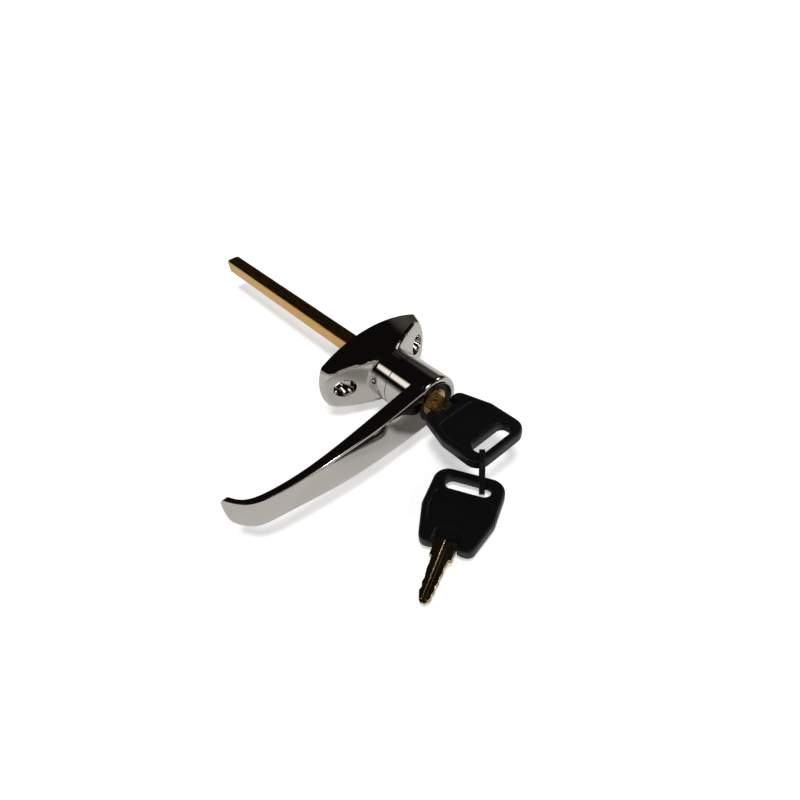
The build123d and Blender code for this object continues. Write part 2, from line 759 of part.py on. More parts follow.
# The loose key is the same key, lying flat beside the first
with BuildPart() as key_2_bow:
    add(key_1_bow.part.moved(key_2_move))
key_2_bow.part.label = "key_2_bow"

with BuildPart() as key_2_blade:
    add(key_1_blade.part.moved(key_2_move))
key_2_blade.part.label = "key_2_blade"

# Link: a flat closed loop that hangs through both slots, round the rims of both bows
link_middle_y = link_rim_offset - key_1_bow_end_out
link_top = bow_thickness / 2 + link_top_gap
link_foot = -(key_2_drop + bow_thickness / 2 + link_foot_gap)
link_course = (cos(radians(link_heading)), sin(radians(link_heading)), 0)
link_across = (sin(radians(link_heading)), -cos(radians(link_heading)), 0)
link_origin = (link_middle_x, link_middle_y, (link_top + link_foot) / 2)
with BuildPart() as key_link:
    with BuildSketch(Plane(origin=link_origin, x_dir=link_course, z_dir=link_across)):
        RectangleRounded(
            2 * (link_inner_half_length + link_thickness),
            link_top - link_foot + 2 * link_thickness,
            link_bend_radius + link_thickness,
        )
        RectangleRounded(
            2 * link_inner_half_length, link_top - link_foot, link_bend_radius, mode=Mode.SUBTRACT
        )
    extrude(amount=link_width / 2, both=True)
key_link.part.label = "key_link"

os.makedirs("parts", exist_ok=True)
parts = (
    mounting_plate,
    handle,
    spindle,
    cross_pin,
    spring_washer,
    stop_washer,
    snap_ring,
    lock_barrel,
    lock_plug,
    plug_clip,
    drive_pin,
    locking_bolt,
    *wafers,
    *springs,
    key_1_bow,
    key_1_blade,
    key_2_bow,
    key_2_blade,
    key_link,
)
for piece in parts:
    print(piece.part.label, len(piece.part.solids()), round(piece.part.volume, 1))
    export_step(piece.part, "parts/" + piece.part.label + ".step")
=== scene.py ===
# %% [markdown]
# # A locking door handle, dressed in Blender
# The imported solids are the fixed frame. Each cell gives one finish or one piece its looks,
# and the last cells set the floor, the lamps and the camera.

# %% Load the frame
import json

import bmesh
import bpy
import numpy as np
from mathutils import Matrix, Vector


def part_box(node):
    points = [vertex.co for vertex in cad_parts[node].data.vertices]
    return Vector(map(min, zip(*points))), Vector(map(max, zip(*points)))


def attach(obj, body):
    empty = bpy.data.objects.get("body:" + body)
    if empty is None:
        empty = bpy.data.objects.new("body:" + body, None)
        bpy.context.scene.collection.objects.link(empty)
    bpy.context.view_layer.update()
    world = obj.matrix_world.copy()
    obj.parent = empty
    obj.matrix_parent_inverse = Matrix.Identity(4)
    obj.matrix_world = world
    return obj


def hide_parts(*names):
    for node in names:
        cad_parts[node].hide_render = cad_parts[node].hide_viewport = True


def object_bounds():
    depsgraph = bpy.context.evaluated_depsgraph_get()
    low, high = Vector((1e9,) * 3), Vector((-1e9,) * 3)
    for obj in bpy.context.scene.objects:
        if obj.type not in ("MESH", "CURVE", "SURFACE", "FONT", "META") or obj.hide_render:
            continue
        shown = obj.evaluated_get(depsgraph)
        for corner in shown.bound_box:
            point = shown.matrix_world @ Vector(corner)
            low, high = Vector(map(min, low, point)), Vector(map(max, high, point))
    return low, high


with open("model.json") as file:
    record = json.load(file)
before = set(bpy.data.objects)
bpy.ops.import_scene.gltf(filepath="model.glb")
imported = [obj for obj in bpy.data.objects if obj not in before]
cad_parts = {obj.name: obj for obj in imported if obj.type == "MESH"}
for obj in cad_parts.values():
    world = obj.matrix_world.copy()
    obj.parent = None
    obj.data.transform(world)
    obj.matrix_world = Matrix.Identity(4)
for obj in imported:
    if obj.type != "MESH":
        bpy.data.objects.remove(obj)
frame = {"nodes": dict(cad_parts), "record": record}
cad_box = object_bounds()
nodes = frame["nodes"]
MM = 0.001
box_in_mm = [[round(v / MM, 1) for v in corner] for corner in cad_box]
print("nodes:", len(nodes), "box in mm:", box_in_mm)


# %% [markdown]
# ## Colours and nodes
# A colour is written as people read it, in sRGB hex, and Blender's shaders want linear
# values, so one function turns it. One more adds a node with its settings and links.

# %% Colour and node helpers
def linear(code):
    """Linear RGBA of an sRGB hex colour: each channel through the sRGB curve's inverse."""
    channels = np.array([int(code[i : i + 2], 16) for i in (0, 2, 4)]) / 255
    low = channels / 12.92
    high = ((channels + 0.055) / 1.055) ** 2.4
    return (*np.where(channels <= 0.04045, low, high).tolist(), 1.0)


def add(tree, kind, settings=None, **links):
    """A node of this kind, with its properties set and its inputs set or linked.

    An input is named with underscores for spaces, or numbered, as in i0 for the first.
    """
    node = tree.nodes.new("ShaderNode" + kind)
    for key, value in (settings or {}).items():
        setattr(node, key, value)
    for key, value in links.items():
        numbered = key[0] == "i" and key[1:].isdigit()
        socket = node.inputs[int(key[1:]) if numbered else key.replace("_", " ")]
        if isinstance(value, bpy.types.NodeSocket):
            tree.links.new(value, socket)
        else:
            socket.default_value = value
    return node


def new_material(name):
    """A node material with nothing in it, and its tree."""
    material = bpy.data.materials.new(name)
    material.use_nodes = True
    material.node_tree.nodes.clear()
    return material, material.node_tree


def finish_material(tree, shader):
    """Link a shader to a new output node."""
    output = tree.nodes.new("ShaderNodeOutputMaterial")
    tree.links.new(shader.outputs[0], output.inputs["Surface"])


# %% [markdown]
# ## Bright chrome plate on a zinc casting
# Nickel and chrome plating over a polished casting mirrors the room. It is a very bright
# metal with almost no roughness. A slow, low waviness from hand polishing bends the
# reflections a little, and fine haze from handling softens them in places.

# %% Chrome
def chrome_plate():
    """A bright metal: roughness follows a fine noise and the bump a slow one."""
    material, tree = new_material("chrome plated zinc")
    coords = add(tree, "TexCoord").outputs["Object"]
    haze = add(tree, "TexNoise", Vector=coords, Scale=180.0, Detail=3.0).outputs[0]
    rough = add(tree, "MapRange", i0=haze, i1=0.35, i2=0.7, i3=0.03, i4=0.075).outputs[0]
    wave = add(tree, "TexNoise", Vector=coords, Scale=60.0, Detail=1.0).outputs[0]
    bump = add(tree, "Bump", Strength=0.03, Distance=0.0004, Height=wave).outputs[0]
    shader = add(
        tree, "BsdfPrincipled",
        Base_Color=linear("cbc7c0"), Metallic=1.0, Roughness=rough, Normal=bump,
    )
    finish_material(tree, shader)
    return material


# %% [markdown]
# ## Yellow zinc plate on drawn steel
# Chromate over zinc gives a thin film whose colour drifts between gold and pink along the
# bar. One slow noise, squeezed along the bar, runs through the colours, and a fine noise,
# drawn out along it, gives the grain of the drawing die.

# %% Yellow zinc
def yellow_zinc():
    """A metal whose colour is a ramp over the slow noise; grain sets roughness and bump."""
    material, tree = new_material("yellow zinc plated steel")
    coords = add(tree, "TexCoord").outputs["Object"]
    drift_space = add(tree, "Mapping", Vector=coords, Scale=(12.0, 34.0, 12.0)).outputs[0]
    drift = add(tree, "TexNoise", Vector=drift_space, Scale=1.0, Detail=1.5).outputs[0]
    ramp = add(tree, "ValToRGB", i0=drift)
    stops = ramp.color_ramp.elements
    stops[0].position = 0.3
    stops[0].color = linear("e6a274")
    stops[1].position = 0.7
    stops[1].color = linear("e3a076")
    for position, code in ((0.42, "e3a877"), (0.5, "dcae55"), (0.6, "d2ae50")):
        stops.new(position).color = linear(code)
    grain_space = add(tree, "Mapping", Vector=coords, Scale=(2500.0, 60.0, 2500.0)).outputs[0]
    grain = add(tree, "TexNoise", Vector=grain_space, Scale=1.0, Detail=2.0).outputs[0]
    rough = add(tree, "MapRange", i0=grain, i1=0.3, i2=0.7, i3=0.2, i4=0.36).outputs[0]
    bump = add(tree, "Bump", Strength=0.12, Distance=0.0001, Height=grain).outputs[0]
    shader = add(
        tree, "BsdfPrincipled",
        Base_Color=ramp.outputs[0], Metallic=1.0, Roughness=rough, Normal=bump,
    )
    finish_material(tree, shader)
    return material


# %% [markdown]
# ## Plain metals
# Turned brass, pressed steel and a dull zinc casting differ in colour, in how rough they
# are and in their marks, so one function takes those three things.

# %% Plain metals
def plain_metal(name, colour, dark_colour, low_rough, high_rough, grain_mm):
    """A metal whose colour and roughness both follow one noise of the given grain."""
    material, tree = new_material(name)
    coords = add(tree, "TexCoord").outputs["Object"]
    mottle = add(tree, "TexNoise", Vector=coords, Scale=1 / (grain_mm * MM), Detail=2.0).outputs[0]
    ramp = add(tree, "ValToRGB", i0=mottle)
    ramp.color_ramp.elements[0].position = 0.3
    ramp.color_ramp.elements[0].color = linear(dark_colour)
    ramp.color_ramp.elements[1].position = 0.7
    ramp.color_ramp.elements[1].color = linear(colour)
    rough = add(
        tree, "MapRange", i0=mottle, i1=0.3, i2=0.7, i3=low_rough, i4=high_rough
    ).outputs[0]
    bump = add(tree, "Bump", Strength=0.05, Distance=0.00003, Height=mottle).outputs[0]
    shader = add(
        tree, "BsdfPrincipled",
        Base_Color=ramp.outputs[0], Metallic=1.0, Roughness=rough, Normal=bump,
    )
    finish_material(tree, shader)
    return material


# %% [markdown]
# ## Satin black moulding
# The bows and the link are moulded in filled nylon. The spark-eroded mould leaves a fine
# grain of a third to half a millimetre, which breaks up the highlights.

# %% Black plastic
def black_plastic(name, grain_mm, rough):
    """Black with a grain: the roughness goes from a little under the value to a little over."""
    material, tree = new_material(name)
    coords = add(tree, "TexCoord").outputs["Object"]
    grain = add(tree, "TexNoise", Vector=coords, Scale=1 / (grain_mm * MM), Detail=2.0).outputs[0]
    bump = add(tree, "Bump", Strength=0.2, Distance=0.0001, Height=grain).outputs[0]
    spread = add(
        tree, "MapRange", i0=grain, i1=0.3, i2=0.7, i3=rough - 0.05, i4=rough + 0.07
    ).outputs[0]
    shader = add(
        tree, "BsdfPrincipled", Base_Color=linear("0e0e0f"), Roughness=spread, Normal=bump
    )
    shader.inputs["Specular IOR Level"].default_value = 0.35
    finish_material(tree, shader)
    return material


# %% Give every solid its finish
finishes = {
    "chrome_plate": chrome_plate(),
    "yellow_zinc": yellow_zinc(),
    "steel": plain_metal("pressed steel", "a9a9aa", "8d8d8f", 0.25, 0.4, 1.5),
    "barrel_zinc": plain_metal("dull zinc casting", "3f3f42", "333336", 0.35, 0.5, 1.5),
    "plug_brass": plain_metal("turned brass", "d6b67c", "ccac70", 0.24, 0.28, 3.0),
    "key_brass": plain_metal("milled brass", "d8c49c", "cfb88e", 0.22, 0.26, 3.0),
    "bow_plastic": black_plastic("moulded black nylon", 0.35, 0.38),
    "link_plastic": black_plastic("moulded black band", 0.5, 0.5),
}
slot_of = {part["node"]: part["material_slot"] for part in frame["record"]["subparts"]}
for name, node in nodes.items():
    node.data.materials.clear()
    node.data.materials.append(finishes[slot_of[name]])

# %% [markdown]
# ## The handle's casting
# The real lever is polished by hand: its faces are a little crowned, its corners run out
# softly, and it grows out of the hub without a corner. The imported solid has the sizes, and
# this piece takes its place with those soft forms. A superellipse carried along two guide
# curves gives the lever, because one formula holds both the flat faces and the round
# corners. A profile turned about the spindle's axis gives the hub. The shank below them is
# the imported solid's own, cut from a merged copy.

# %% Guide curves
# A guide's points are (share of the lever's length, distance out or half width in mm).
LEVER_LENGTH = 98.8
LEVER_FRONT = ((0, 45.1), (0.36, 47.1), (0.62, 46.3), (0.82, 43.8), (0.92, 40.8), (1.0, 29.6))
LEVER_BACK = ((0, 36.7), (0.28, 38.4), (0.55, 40.7), (0.82, 39.6), (0.92, 36.8), (0.966, 29.4))
PAST_END = 1.01
LEVER_WIDTHS = (0.30, 9.5), (0.55, 8.2), (0.84, 6.7), (0.94, 7.3), (PAST_END, 7.3)
ROOT_FRONT_WIDTHS = (0, 10.9), (0.11, 10.6)
ROOT_BACK_HALF_WIDTH = 12.4
ROOT_BACK_WIDTHS = (0, ROOT_BACK_HALF_WIDTH), (0.11, 11.2)
GUIDE_STEPS = 400


def smooth_curve(points, places):
    """Cubic curve through the points, at places from 0 to 1 of their summed distances.

    Its slopes at the points are those that leave no jump in its second derivative.
    """
    points = np.array(points, dtype=float)
    steps = np.linalg.norm(np.diff(points, axis=0), axis=1)
    knots = np.concatenate([[0], np.cumsum(steps)]) / steps.sum()
    gaps = np.diff(knots)
    count = len(points)
    balance = np.zeros((count, count))
    pull = np.zeros_like(points)
    balance[0, :2] = 2, 1
    balance[-1, -2:] = 1, 2
    pull[0] = 3 * (points[1] - points[0]) / gaps[0]
    pull[-1] = 3 * (points[-1] - points[-2]) / gaps[-1]
    for i in range(1, count - 1):
        balance[i, i - 1 : i + 2] = gaps[i], 2 * (gaps[i - 1] + gaps[i]), gaps[i - 1]
        before = (points[i] - points[i - 1]) / gaps[i - 1]
        after = (points[i + 1] - points[i]) / gaps[i]
        pull[i] = 3 * (gaps[i] * before + gaps[i - 1] * after)
    slopes = np.linalg.solve(balance, pull)
    places = np.asarray(places, dtype=float)
    span = np.clip(np.searchsorted(knots, places) - 1, 0, count - 2)
    t = ((places - knots[span]) / gaps[span])[..., None]
    width = gaps[span][..., None]
    return (
        (1 + 2 * t) * (1 - t) ** 2 * points[span]
        + t * (1 - t) ** 2 * width * slopes[span]
        + t**2 * (3 - 2 * t) * points[span + 1]
        + t**2 * (t - 1) * width * slopes[span + 1]
    )


# %% Lever
AROUND = 160
ALONG = 220
BOXINESS = 9.0
EDGE_CROWDING = 0.06
CROWN = 0.35
ROOT_RING = 11.2
ROOT_START = 0.86
END_ROUNDING = 0.016
FACE_END_POWER = 2.4
SIDE_END_ROUNDING = 2 * END_ROUNDING
SIDE_END_POWER = 2.6


def box_section(count, boxiness):
    """Side and depth of a unit box with soft corners, at count points around it.

    They are the sine and cosine of the point's angle over their length in the power norm.
    The points crowd towards the corners.
    """
    angle = 2 * np.pi * (np.arange(count) + 0.5) / count
    angle = angle - EDGE_CROWDING * np.sin(4 * angle)
    side, depth = np.sin(angle), np.cos(angle)
    norm = (np.abs(side) ** boxiness + np.abs(depth) ** boxiness) ** (1 / boxiness)
    return side / norm, depth / norm


def round_off(place, start, length, power):
    """How far through its last stretch a place is, and its size there: 1 falling to 0.

    The size is a superellipse of the way through: one less its power, to one over the power.
    """
    run = np.clip((place - start) / length, 0, 1)
    return run, (1 - run**power) ** (1 / power)


def lever_grid():
    """Superellipse sections from the hub's ring to the tip.

    A section's side is scaled by the half width, and its depth runs from the back guide to
    the front guide. The root follows a ring inside the hub. The front is lowered towards
    its sides by the crown, and the last stretch is rounded off in depth and in width.
    """
    side, depth = box_section(AROUND, BOXINESS)
    start_side = np.minimum(np.abs(side) * ROOT_BACK_HALF_WIDTH, ROOT_RING)
    start = ROOT_START * np.sqrt(ROOT_RING**2 - start_side**2) / LEVER_LENGTH
    u = np.sin(np.linspace(0, np.pi / 2, ALONG))[:, None]
    place = start * (1 - u) + u
    front = smooth_curve([(-LEVER_LENGTH * x, -out) for x, out in LEVER_FRONT], place)
    back = smooth_curve([(-LEVER_LENGTH * x, -out) for x, out in LEVER_BACK], place)
    middle, half = (front + back) / 2, (front - back) / 2
    along = np.clip(-middle[..., 0] / LEVER_LENGTH, 0, PAST_END)
    dense = np.linspace(0, 1, GUIDE_STEPS)
    widths = []
    for root in (ROOT_FRONT_WIDTHS, ROOT_BACK_WIDTHS):
        guide = smooth_curve([(LEVER_LENGTH * x, w) for x, w in (*root, *LEVER_WIDTHS)], dense)
        widths.append(np.interp(along * LEVER_LENGTH, guide[:, 0], guide[:, 1]))
    share = (1 + depth) / 2
    width = widths[0] * share + widths[1] * (1 - share)
    _, thin = round_off(place, 1 - END_ROUNDING, END_ROUNDING, FACE_END_POWER)
    _, narrow = round_off(place, 1 - SIDE_END_ROUNDING, SIDE_END_ROUNDING, SIDE_END_POWER)
    reach = half * (depth * thin)[..., None]
    crown = CROWN * (depth > 0) * depth * side**2 * thin
    outward = half / np.linalg.norm(half, axis=2, keepdims=True)
    flat = middle + reach - crown[..., None] * outward
    return np.dstack([flat[..., 0], flat[..., 1], side * width * narrow])


def grid_faces(rows, columns, closed_rows):
    """Quads of a grid that is closed round its columns, and round its rows if asked."""
    last = rows if closed_rows else rows - 1
    row, column = np.meshgrid(np.arange(last), np.arange(columns), indexing="ij")
    next_row, next_column = (row + 1) % rows, (column + 1) % columns
    corners = [row * columns + column, row * columns + next_column]
    corners += [next_row * columns + next_column, next_row * columns + column]
    return np.stack(corners, axis=-1).reshape(-1, 4)


def lever_mesh():
    """The grid, its root closed by quads across it; at the tip its points all meet in one."""
    grid = lever_grid()
    points = grid.reshape(-1, 3)
    faces = grid_faces(ALONG, AROUND, False).tolist()
    half = AROUND // 2
    for i in range(half // 2 - 1):
        faces.append((i, i + 1, half - 2 - i, half - 1 - i))
        faces.append((AROUND - 1 - i, AROUND - 2 - i, half + 1 + i, half + i))
    faces.append((0, half - 1, half, AROUND - 1))
    return points, faces


# %% Hub
HUB_RADIUS = 12.8
HUB_OUT = 45.3
HUB_RIM = 2.2
HUB_BACK = 24.75
HUB_BORE = 9.6
HUB_FLOOR = 28.0
TAIL_HOLE = 5.05
NECK_RADIUS = 7.9
NECK_OUT = 24.4
HUB_STEPS = 192
BORE_EDGE = 0.25
BACK_EDGE = 0.2
RING_BESIDE_RIM = 0.1
RING_BESIDE_BACK = 0.1


def arc(centre, radius, first, last, count):
    """Points of an arc from one angle to another, in degrees."""
    turn = np.radians(np.linspace(first, last, count))
    return np.stack([centre[0] + radius * np.cos(turn), centre[1] + radius * np.sin(turn)], axis=1)


def hub_mesh():
    """A closed profile of radius and distance out, turned about the Y axis.

    A ring beside each end of the wall keeps the rim's shading out of the wall.
    """
    profile = np.vstack([
        [(TAIL_HOLE, NECK_OUT), (TAIL_HOLE, HUB_FLOOR), (HUB_BORE, HUB_FLOOR)],
        arc((HUB_BORE + BORE_EDGE, HUB_OUT - BORE_EDGE), BORE_EDGE, 180, 90, 6),
        arc((HUB_RADIUS - HUB_RIM, HUB_OUT - HUB_RIM), HUB_RIM, 90, 0, 20),
        [(HUB_RADIUS, HUB_OUT - HUB_RIM - RING_BESIDE_RIM)],
        [(HUB_RADIUS, HUB_BACK + BACK_EDGE + RING_BESIDE_BACK)],
        arc((HUB_RADIUS - BACK_EDGE, HUB_BACK + BACK_EDGE), BACK_EDGE, 0, -90, 4),
        [(NECK_RADIUS, HUB_BACK), (NECK_RADIUS, NECK_OUT)],
    ])
    turn = 2 * np.pi * np.arange(HUB_STEPS) / HUB_STEPS
    radius, out = profile[:, 0][:, None], profile[:, 1][:, None]
    points = np.stack([radius * np.cos(turn), -out + 0 * turn, radius * np.sin(turn)], axis=2)
    return points.reshape(-1, 3), grid_faces(len(profile), HUB_STEPS, True).tolist()


# %% Put the casting together
SHANK_CUT = 24.5
MERGE_DISTANCE = 1e-6
EQUAL_POINTS = 1e-7


def new_piece(name, parts, sharp_degrees):
    """One object from (points in mm, faces) pairs, smooth, with its normals turned outwards."""
    shape = bmesh.new()
    for points, faces in parts:
        part = bpy.data.meshes.new(name + "_part")
        part.from_pydata((points * MM).tolist(), [], faces)
        part.validate()
        shape.from_mesh(part)
        bpy.data.meshes.remove(part)
    bmesh.ops.remove_doubles(shape, verts=shape.verts, dist=MERGE_DISTANCE)
    bmesh.ops.dissolve_degenerate(shape, edges=shape.edges, dist=EQUAL_POINTS)
    bmesh.ops.recalc_face_normals(shape, faces=shape.faces)
    mesh = bpy.data.meshes.new(name)
    shape.to_mesh(mesh)
    shape.free()
    mesh.shade_smooth()
    mesh.set_sharp_from_angle(angle=np.radians(sharp_degrees))
    piece = bpy.data.objects.new(name, mesh)
    bpy.context.scene.collection.objects.link(piece)
    return piece


def shank_mesh():
    """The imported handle's shank: a merged copy, cut across below the hub and closed there."""
    shape = bmesh.new()
    shape.from_mesh(nodes["handle"].data)
    bmesh.ops.remove_doubles(shape, verts=shape.verts, dist=EQUAL_POINTS)
    everything = [*shape.verts, *shape.edges, *shape.faces]
    cut = bmesh.ops.bisect_plane(
        shape,
        geom=everything,
        plane_co=(0, -SHANK_CUT * MM, 0),
        plane_no=(0, -1, 0),
        clear_outer=True,
    )
    rim = [item for item in cut["geom_cut"] if isinstance(item, bmesh.types.BMEdge)]
    bmesh.ops.triangle_fill(shape, edges=rim, use_beauty=True)
    shape.verts.ensure_lookup_table()
    points = np.array([vert.co[:] for vert in shape.verts]) / MM
    faces = [[vert.index for vert in face.verts] for face in shape.faces]
    shape.free()
    return points, faces


casting_parts = [lever_mesh(), hub_mesh(), shank_mesh()]
casting = new_piece("handle_casting", casting_parts, sharp_degrees=40)
casting.data.materials.append(finishes["chrome_plate"])
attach(casting, "handle_body")
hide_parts("handle")
print("handle casting faces:", len(casting.data.polygons))

# %% [markdown]
# ## The spindle
# The bar's far end is turned to a round nose, so that it finds the cam's square hole. A
# superellipse section holds the flat faces and the small edge rounding. Over the last few
# millimetres it shrinks to a dome and goes from square to round.

# %% Spindle
SPINDLE_HALF = 4.0
SPINDLE_BOXINESS = 14.0
SPINDLE_AROUND = 96
STRAIGHT_STEPS = 40
NOSE_STEPS = 24
NOSE_BOXINESS = 3.0
NOSE_LENGTH = 3.2
NOSE_POWER = 2.3


def spindle_mesh():
    """Sections along Y, closed across the near end and meeting in a point at the far end.

    Through the nose they are rounded off, and their power falls from the bar's to the
    nose's in even ratios over the square root of the way through.
    """
    start, end = (corner[1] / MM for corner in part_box("spindle"))
    straight = np.linspace(start, end - NOSE_LENGTH, STRAIGHT_STEPS)
    swing = np.linspace(0, np.pi / 2, NOSE_STEPS)[1:]
    nose = end - NOSE_LENGTH + NOSE_LENGTH * np.sin(swing)
    along = np.concatenate([straight, nose])[:, None]
    run, full = round_off(along, end - NOSE_LENGTH, NOSE_LENGTH, NOSE_POWER)
    boxiness = SPINDLE_BOXINESS * (NOSE_BOXINESS / SPINDLE_BOXINESS) ** np.sqrt(run)
    side, depth = box_section(SPINDLE_AROUND, boxiness)
    size = SPINDLE_HALF * full
    places = np.broadcast_to(along, side.shape)
    points = np.stack([size * side, places, size * depth], axis=2)
    faces = grid_faces(len(along), SPINDLE_AROUND, False).tolist()
    faces.append(tuple(range(SPINDLE_AROUND)))
    return points.reshape(-1, 3), faces


bar = new_piece("spindle_bar", [spindle_mesh()], sharp_degrees=60)
bar.data.materials.append(finishes["yellow_zinc"])
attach(bar, "handle_body")
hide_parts("spindle")
print("spindle bar faces:", len(bar.data.polygons))


# %% [markdown]
# ## Key bows and link
# A moulded bow has a round rim about a sunk panel. Flat outlines with holes in them, made
# thick with a round edge, stack to that form: a full-height ring with the slot and the
# panel left out of it, and a thinner core inside. Blender's two-dimensional curve does the
# filling and the rounding, and it is turned into a mesh before it is put in its place.

# %% Flat outlines
def rounded_outline(corners, radii, steps=8):
    """A polygon with an arc at each corner, tangent to both its sides."""
    corners = np.array(corners, dtype=float)
    outline = []
    for i, corner in enumerate(corners):
        before = corners[i - 1] - corner
        after = corners[(i + 1) % len(corners)] - corner
        before, after = before / np.linalg.norm(before), after / np.linalg.norm(after)
        half_angle = np.arccos(np.clip(before @ after, -1, 1)) / 2
        middle = (before + after) / np.linalg.norm(before + after)
        centre = corner + middle * radii[i] / np.sin(half_angle)
        reach = radii[i] / np.tan(half_angle)
        first, last = corner + before * reach - centre, corner + after * reach - centre
        for t in np.linspace(0, 1, steps):
            spoke = first * (1 - t) + last * t
            outline.append(centre + spoke / np.linalg.norm(spoke) * radii[i])
    return np.array(outline)


def moved_in(corners, distance):
    """The polygon with each side moved in: new corners where the moved sides meet."""
    corners = np.array(corners, dtype=float)
    sides = np.roll(corners, -1, axis=0) - corners
    inward = np.stack([-sides[:, 1], sides[:, 0]], axis=1)
    inward /= np.linalg.norm(sides, axis=1)[:, None]
    reach = (inward * corners).sum(axis=1) + distance
    result = []
    for i in range(len(corners)):
        result.append(np.linalg.solve(inward[[i - 1, i]], reach[[i - 1, i]]))
    return np.array(result)


def thick_outline(outlines, thickness, rounding):
    """Points and faces of flat outlines with holes, made thick, with their edges rounded."""
    curve = bpy.data.curves.new("outline", "CURVE")
    curve.dimensions = "2D"
    curve.fill_mode = "BOTH"
    curve.extrude = thickness / 2 - rounding
    curve.bevel_depth = rounding
    curve.bevel_resolution = 4
    curve.offset = -rounding
    for outline in outlines:
        spline = curve.splines.new("POLY")
        spline.points.add(len(outline) - 1)
        flat = np.zeros((len(outline), 4))
        flat[:, :2] = outline
        spline.points.foreach_set("co", flat.ravel())
        spline.use_cyclic_u = True
    holder = bpy.data.objects.new("outline", curve)
    bpy.context.scene.collection.objects.link(holder)
    bpy.context.view_layer.update()
    graph = bpy.context.evaluated_depsgraph_get()
    mesh = bpy.data.meshes.new_from_object(holder.evaluated_get(graph))
    points = np.array([vert.co[:] for vert in mesh.vertices])
    faces = [tuple(face.vertices) for face in mesh.polygons]
    bpy.data.objects.remove(holder)
    bpy.data.curves.remove(curve)
    bpy.data.meshes.remove(mesh)
    return points, faces


def set_in_place(part, origin, x_axis, y_axis):
    """Carry points from a flat plane to the object: origin plus x, y and z times three axes."""
    points, faces = part
    axes = np.array([x_axis, y_axis, np.cross(x_axis, y_axis)])
    return points @ axes + np.array(origin), faces


# %% Bow
BOW_LENGTH = 36.3
BOW_HALF_WIDTH = 15.1
BOW_FRONT_HALF_WIDTH = 10.6
BOW_SHOULDER = 20.4
BOW_THICKNESS = 5.4
BOW_ROUNDING = 1.05
BOW_RIM = 3.3
CORE_THICKNESS = 3.7
SLOT_WIDTH = 6.7
SLOT_HALF_LENGTH = 9.8
NOTCH_HALF_WIDTH = 5.2
NOTCH_DEPTH = 6.8
BAR_WIDTH = 2.3
WINDOW_HALF_WIDTH = 4.6
WINDOW_DEPTH = 3.9
SLOT_RADIUS = 3.0
SLOT_TO_PANEL = 2.4
PANEL_NARROWING = 0.5
CORE_SLOT_RADIUS = 3.2
CORE_SLOT_MARGIN = 0.4
CORE_INSET = 0.15
CORE_ROUNDING = 0.3
# Corner radii, in the order of each outline's corners.
RING_RADII = (6.3, 8.0, 3.5, 1.2, 1.2, 1.2, 1.2, 3.5, 8.0, 6.3)
CORE_RADII = (5.8, 7.5, 3.0, 0.4, 0.4, 0.4, 0.4, 3.0, 7.5, 5.8)
PANEL_RADII = (2.0, 6.0, 2.0, 2.0, 6.0, 2.0)


def bow_sides(notch_half_width, notch_depth):
    """Corners of a bow's outline, anticlockwise, with the notch for the blade at its front."""
    notch_end = BOW_LENGTH - notch_depth
    return [
        (0, -BOW_HALF_WIDTH), (BOW_SHOULDER, -BOW_HALF_WIDTH), (BOW_LENGTH, -BOW_FRONT_HALF_WIDTH),
        (BOW_LENGTH, -notch_half_width), (notch_end, -notch_half_width),
        (notch_end, notch_half_width), (BOW_LENGTH, notch_half_width),
        (BOW_LENGTH, BOW_FRONT_HALF_WIDTH), (BOW_SHOULDER, BOW_HALF_WIDTH), (0, BOW_HALF_WIDTH),
    ]


def box_outline(first, last, half_width, radius):
    """A rounded rectangle from one place to another along the bow."""
    corners = [(first, -half_width), (last, -half_width), (last, half_width), (first, half_width)]
    return rounded_outline(corners, [radius] * 4)


def bow_parts():
    """The bow's ring and core, flat in their own plane."""
    slot_end = BOW_RIM + SLOT_WIDTH
    slot = box_outline(BOW_RIM, slot_end, SLOT_HALF_LENGTH, SLOT_RADIUS)
    panel_start = slot_end + SLOT_TO_PANEL
    panel_end = BOW_LENGTH - NOTCH_DEPTH - BAR_WIDTH
    slope = (BOW_HALF_WIDTH - BOW_FRONT_HALF_WIDTH) / (BOW_LENGTH - BOW_SHOULDER)
    wide = BOW_HALF_WIDTH - BOW_RIM
    narrow = wide - slope * (panel_end - BOW_SHOULDER + PANEL_NARROWING)
    panel_corners = [
        (panel_start, -wide), (BOW_SHOULDER, -wide), (panel_end, -narrow),
        (panel_end, narrow), (BOW_SHOULDER, wide), (panel_start, wide),
    ]
    panel = rounded_outline(panel_corners, PANEL_RADII)
    ring = rounded_outline(bow_sides(NOTCH_HALF_WIDTH, NOTCH_DEPTH), RING_RADII)
    core_corners = moved_in(bow_sides(WINDOW_HALF_WIDTH, WINDOW_DEPTH), CORE_INSET)
    core = rounded_outline(core_corners, CORE_RADII)
    core_slot = box_outline(
        BOW_RIM - CORE_SLOT_MARGIN,
        slot_end + CORE_SLOT_MARGIN,
        SLOT_HALF_LENGTH + CORE_SLOT_MARGIN,
        CORE_SLOT_RADIUS,
    )
    return [
        thick_outline([ring, slot, panel], BOW_THICKNESS, BOW_ROUNDING),
        thick_outline([core, core_slot], CORE_THICKNESS, CORE_ROUNDING),
    ]


# %% [markdown]
# ## Key blades
# A blank is milled from brass strip: a wide shoulder stops against the plug, a long groove
# runs down each face, and shallow round cuts down both edges lift the wafers. Two rails of
# full thickness on a thinner core leave the groove open between them.

